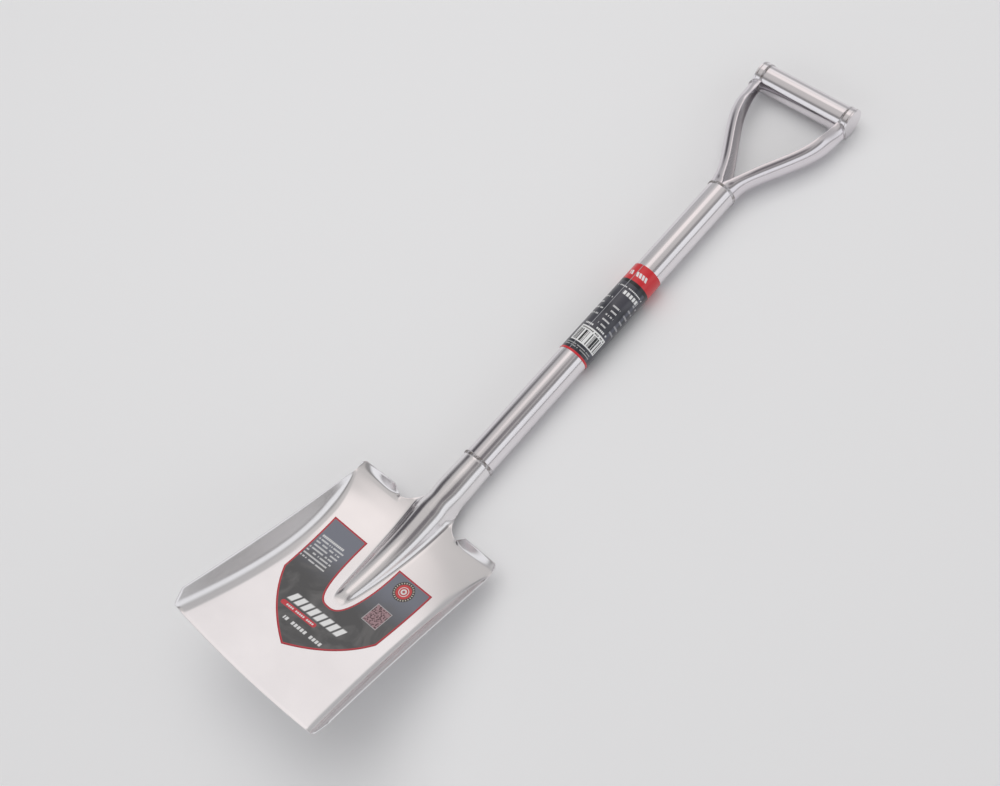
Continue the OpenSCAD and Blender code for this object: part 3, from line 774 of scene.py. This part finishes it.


# The sleeve's dark print, with a painted highlight line along it.
def sleeve_print_and_highlight():
    material, tree, surface, coords, x, q, z = film("sleeve_print_and_highlight")
    turn = calc(tree, "ARCTAN2", x, z)                       # 0 at the top, growing towards the right
    u = calc(tree, "MULTIPLY", turn, SHAFT_R + SLEEVE_T)
    patches = remap(tree, noise(tree, coords, 30.0, 1.0), 0.42, 0.58)
    base = blend(tree, patches, (*INK, 1), (0.058, 0.057, 0.072, 1))
    lo, hi = LABEL_Q
    slant = calc(tree, "ADD", u, calc(tree, "MULTIPLY", q, PRINT_LEAN))
    bars_key = calc(tree, "FLOOR", calc(tree, "DIVIDE", u, 0.62))
    chance = add(tree, "ShaderNodeTexWhiteNoise", {"W": bars_key}, noise_dimensions="1D")[0]
    bars = calc(tree, "LESS_THAN", chance, 0.47)
    paint(tree, surface, base, [
        (strip(tree, u, 20.5, 24.5, 1.2), (0.085, 0.09, 0.12)),
        (strip(tree, q, hi - 24, hi + 1), RED),
        (strip(tree, q, hi - 28.5, hi - 24), BLACK),
        (dash_rows(tree, slant, q, 88, 114, hi - 17.5, hi - 10.5, 7, 4.1, 0.86, 3.0, 0.86), WHITE),
        # A thin light line along the whole sleeve, drawn over its upper red and black bands: a painted
        # highlight, not print.
        (strip(tree, u, -4.1, -3.3), (0.35, 0.35, 0.37)),
        (dash_rows(tree, u, q, -16, 26, hi - 36.5, hi - 33.5, 3, 2.2, 0.85, 5.0), WHITE),
        (dash_rows(tree, u, q, -1, 24, hi - 45, hi - 38.5, 6.5, 4.6, 0.95, 7.0, 0.8), WHITE),
        (dash_rows(tree, u, q, -21, -6, lo + 52, lo + 88, 9, 1.5, 0.8, 11.0, 0.2), WHITE),
        (dash_rows(tree, u, q, 2, 13, lo + 44, lo + 78, 6.8, 1.4, 0.75, 13.0, 0.3), WHITE),
        (dash_rows(tree, u, q, 20, 30, lo + 44, lo + 96, 8.6, 1.6, 0.75, 17.0, 0.25),
         (0.45, 0.45, 0.47)),
        (dash_rows(tree, u, q, -12, 22, lo + 39, lo + 43, 4, 2.4, 0.8, 19.0, 0.6), WHITE),
        (panel(tree, u, q, -13.3, 25.9, lo + 14, lo + 37), WHITE),
        (calc(tree, "MULTIPLY", bars, panel(tree, u, q, -11.5, 24.2, lo + 15.5, lo + 32)), BLACK),
        (dash_rows(tree, u, q, -11, 24, lo + 33, lo + 35.5, 2.5, 2.0, 0.8, 23.0, 0.7), BLACK),
        (dash_rows(tree, u, q, -16, 24, lo + 5.5, lo + 11.5, 3, 1.5, 0.8, 29.0, 0.4), (0.5, 0.5, 0.5)),
        (strip(tree, q, lo - 1, lo + 2.6), RED),
    ])
    return material


def sticker_print():
    material, tree, surface, coords, x, q, _ = film("sticker_print")
    p = calc(tree, "MULTIPLY", q, -1.0)
    v = calc(tree, "ADD", p, calc(tree, "MULTIPLY", x, 0.05))       # the print leans a little on the film
    low = fade(tree, v, 170.0, 222.0)
    ground = blend(tree, low, (0.165, 0.175, 0.215, 1), (0.062, 0.061, 0.063, 1))
    murk = remap(tree, noise(tree, coords, 28.0, 4.0, Distortion=1.5), 0.46, 0.66)
    ground = blend(tree, calc(tree, "MULTIPLY", murk, low), ground, (0.115, 0.112, 0.112, 1))
    slant = calc(tree, "ADD", x, calc(tree, "MULTIPLY", v, PRINT_LEAN))
    dx, dp = calc(tree, "SUBTRACT", x, RING_X), calc(tree, "SUBTRACT", p, RING_P)
    r = hypot(tree, dx, dp)
    spokes = calc(tree, "SINE", calc(tree, "MULTIPLY", calc(tree, "ARCTAN2", dp, dx), 24.0))
    speck = add(tree, "ShaderNodeTexVoronoi", {"Vector": coords, "Scale": 520.0})["Distance"]
    grains = remap(tree, speck, 0.30, 0.55)
    grains = blend(tree, grains, (0.06, 0.022, 0.028, 1), (0.34, 0.21, 0.23, 1))
    from_middle = calc(tree, "ABSOLUTE", calc(tree, "SUBTRACT", x, PILL_X))
    pill_x = calc(tree, "MAXIMUM", calc(tree, "SUBTRACT", from_middle, PILL_HALF_W), 0.0)
    pill = hypot(tree, pill_x, calc(tree, "SUBTRACT", v, PILL_V))
    rim = add(tree, "ShaderNodeAttribute", {}, attribute_name="to_rim")["Fac"]
    light = (0.72, 0.72, 0.72)
    paint(tree, surface, ground, [
        (dash_rows(tree, x, v, -73, -42, 169.5, 173.5, 4, 2.2, 0.93, 2.0, 0.7), light),
        (dash_rows(tree, x, v, -73, -38, 174, 205.5, 4.5, 1.45, 0.80, 4.0, 0.42), light),
        (dash_rows(tree, slant, v, 46, 120, 238.5, 251, 12.5, 9.4, 1.0, 6.0, 0.86), WHITE),
        (strip(tree, pill, -1, 2.7), (0.55, 0.03, 0.045)),
        (dash_rows(tree, x, v, -36, 5, 253.6, 257.6, 4, 2.6, 0.85, 8.0, 0.5), light),
        (dash_rows(tree, x, v, -24, 30, 264.5, 270.5, 6, 4.3, 0.86, 10.0, 0.66), light),
        (strip(tree, r, -1, 12.2), (0.030, 0.026, 0.026)),
        (calc(tree, "MULTIPLY", strip(tree, r, 9.6, 11.4), remap(tree, spokes, 0.1, 0.4)),
         (0.55, 0.50, 0.42)),
        (strip(tree, r, -1, 8.9), (0.55, 0.04, 0.045)),
        (strip(tree, r, 5.0, 5.8), light),
        (strip(tree, r, -1, 3.4), light),
        (strip(tree, r, -1, 1.7), (0.45, 0.10, 0.10)),
        (panel(tree, x, p, 33.2, 54.6, 192.6, 217.0), (0.42, 0.40, 0.41)),
        (panel(tree, x, p, 34.0, 53.8, 193.4, 216.2), grains),
        (strip(tree, rim, -1, 1.9, 0.2), (0.50, 0.035, 0.05)),
    ])
    return material


blade_steel = steel("blade_steel", (0.872, 0.845, 0.858), 0.17, (700, 20, 700), 0.0012, 0.10, 14.0)
tube_steel = steel("tube_steel", (0.85, 0.815, 0.84), 0.14, (900, 9, 900), 0.0012, 0.03, 20.0)
arm_steel = steel("arm_steel", (0.81, 0.77, 0.805), 0.15, (700, 14, 700), 0.0015, 0.16, 26.0)
# The arms' inside: rougher, unpolished steel, with a darker tint that is painted shade in the hollow of the
# slit tube.
arm_inside_painted_shade = steel("arm_inside_painted_shade", (0.50, 0.475, 0.50), 0.28, (500, 14, 500), 0.004, 0.25, 26.0)
grip_steel = steel("grip_steel", (0.85, 0.815, 0.84), 0.14, (9, 900, 900), 0.0012, 0.03, 20.0)
weld_steel = weld_metal("weld_steel", (0.62, 0.60, 0.62), (0.27, 0.24, 0.23))
buffed_weld = weld_metal("buffed_weld", (0.76, 0.73, 0.76), (0.46, 0.44, 0.45))

make_blade()
make_tubes()
make_arm(1, "right")
make_arm(-1, "left")
make_arm_weld(1, "right")
make_arm_weld(-1, "left")
make_seam()
make_sleeve()
make_sticker()
for name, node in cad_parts.items():
    node.data.materials.clear()
    node.data.materials.append(weld_steel if "weld" in name else tube_steel)


# ---- Stage: floor, light and camera -------------------------------------------------------------
def make_floor():
    mesh = bpy.data.meshes.new("floor")
    bm = bmesh.new()
    bmesh.ops.create_grid(bm, x_segments=1, y_segments=1, size=25)
    bm.to_mesh(mesh)
    bm.free()
    floor = bpy.data.objects.new("floor", mesh)
    floor.location.z = cad_box[0][2] - 0.0005
    bpy.context.scene.collection.objects.link(floor)
    material, _, surface = new_material("floor_paper")
    surface.inputs["Base Color"].default_value = (0.86, 0.86, 0.87, 1)
    surface.inputs["Roughness"].default_value = 0.9
    mesh.materials.append(material)


def soft_box(name, position, target, size, power):
    data = bpy.data.lights.new(name, "AREA")
    data.shape, data.size, data.size_y = "RECTANGLE", size[0], size[1]
    data.energy = power
    lamp = bpy.data.objects.new(name, data)
    lamp.location = position
    lamp.rotation_euler = (Vector(target) - Vector(position)).to_track_quat("-Z", "Y").to_euler()
    lamp.visible_camera = False
    bpy.context.scene.collection.objects.link(lamp)
    return lamp


def patch(tree, direction, azimuth, elevation, outer, inner):
    """1 within inner degrees of a direction, falling to 0 at outer degrees."""
    az, el = math.radians(azimuth), math.radians(elevation)
    centre = (math.cos(el) * math.cos(az), math.cos(el) * math.sin(az), math.sin(el))
    near = add(tree, "ShaderNodeVectorMath", {0: direction, 1: centre}, operation="DOT_PRODUCT")["Value"]
    return fade(tree, near, math.cos(math.radians(outer)), math.cos(math.radians(inner)))


# The two halves of the room: elevation in degrees, brightness and warmth.
BACK_WALL = ((-20, 0.52, -0.01), (5, 0.50, -0.01), (38, 0.50, 0.0), (52, 0.60, 0.02), (90, 0.58, 0.02))
FRONT_WALL = ((-8, 0.5, 0.0), (-3, 0.20, 0.01), (3, 0.30, 0.01), (9, 0.85, -0.02), (34, 0.92, -0.02),
              (41, 0.26, 0.0), (50, 0.28, 0.01), (57, 0.52, 0.02), (90, 0.58, 0.02))
# Azimuth and elevation of a patch's middle, its outer and inner radius in degrees, and its colour.
PATCHES = ((126, 34, 18, 6, (0.99, 0.96, 0.95)),         # two bright ones behind the left
           (122, 60, 18, 7, (1.00, 0.95, 0.925)),
           (10, 72, 18, 9, (0.18, 0.17, 0.18)),          # a dark one overhead
           (180, 26, 22, 11, (0.090, 0.085, 0.095)))     # and one to the left


def profile(tree, height, stops):
    """Brightness by elevation, as a colour ramp on the sine of the elevation."""
    bands = tree.nodes.new("ShaderNodeValToRGB")
    tree.links.new(height, bands.inputs[0])
    bands.color_ramp.interpolation = "EASE"
    elements = bands.color_ramp.elements
    while len(elements) > 1:
        elements.remove(elements[-1])
    for n, (degrees, value, warmth) in enumerate(stops):
        at = (math.sin(math.radians(degrees)) + 1) / 2
        stop = elements[0] if n == 0 else elements.new(at)
        stop.position = at
        stop.color = (value * (1 + warmth), value, value * (1 - warmth), 1)
    return bands.outputs[0]


def make_world():
    """A soft studio: a bright panel to the right and front between two dark gaps, plain grey behind and
    to the left, and the patches, which give the steel its contrast."""
    world = bpy.data.worlds.new("studio")
    bpy.context.scene.world = world
    world.use_nodes = True
    tree = world.node_tree
    tree.nodes.clear()
    direction = add(tree, "ShaderNodeTexCoord")["Generated"]
    x, y, z = add(tree, "ShaderNodeSeparateXYZ", {0: direction})[:3]
    height = remap(tree, z, -1, 1)
    level = calc(tree, "SQRT", calc(tree, "SUBTRACT", 1.0001, calc(tree, "MULTIPLY", z, z)))
    diagonal = calc(tree, "MULTIPLY", calc(tree, "SUBTRACT", x, y), 0.707)
    side = fade(tree, calc(tree, "DIVIDE", diagonal, level), -0.35, 0.25)
    sky = blend(tree, side, profile(tree, height, BACK_WALL), profile(tree, height, FRONT_WALL))
    for azimuth, elevation, outer, inner, colour in PATCHES:
        sky = blend(tree, patch(tree, direction, azimuth, elevation, outer, inner), sky, (*colour, 1))
    background = add(tree, "ShaderNodeBackground", {"Color": sky, "Strength": 1.0})
    output = tree.nodes.new("ShaderNodeOutputWorld")
    tree.links.new(background[0], output.inputs[0])


# The camera's place, target and roll reproduce the photo's outlines.
CAMERA_AT, CAMERA_TARGET = Vector((0.5859, -0.4336, 1.3657)), Vector((-0.0299, -0.0727, 0.040))
CAMERA_ROLL = math.radians(-20.4)


def make_camera():
    data = bpy.data.cameras.new("camera")
    data.lens, data.sensor_width = 47.6, 36
    data.clip_end = 50
    camera = bpy.data.objects.new("camera", data)
    facing = (CAMERA_TARGET - CAMERA_AT).to_track_quat("-Z", "Y").to_matrix().to_4x4()
    camera.matrix_world = Matrix.Translation(CAMERA_AT) @ facing @ Matrix.Rotation(CAMERA_ROLL, 4, "Z")
    bpy.context.scene.collection.objects.link(camera)
    bpy.context.scene.camera = camera


make_floor()
make_world()
fill = soft_box("floor_fill", (-0.5, 0.3, 2.6), (0, 0, 0), (2.6, 2.6), 27)
fill.visible_glossy = False
make_camera()
bpy.context.scene.view_settings.view_transform = "Standard"
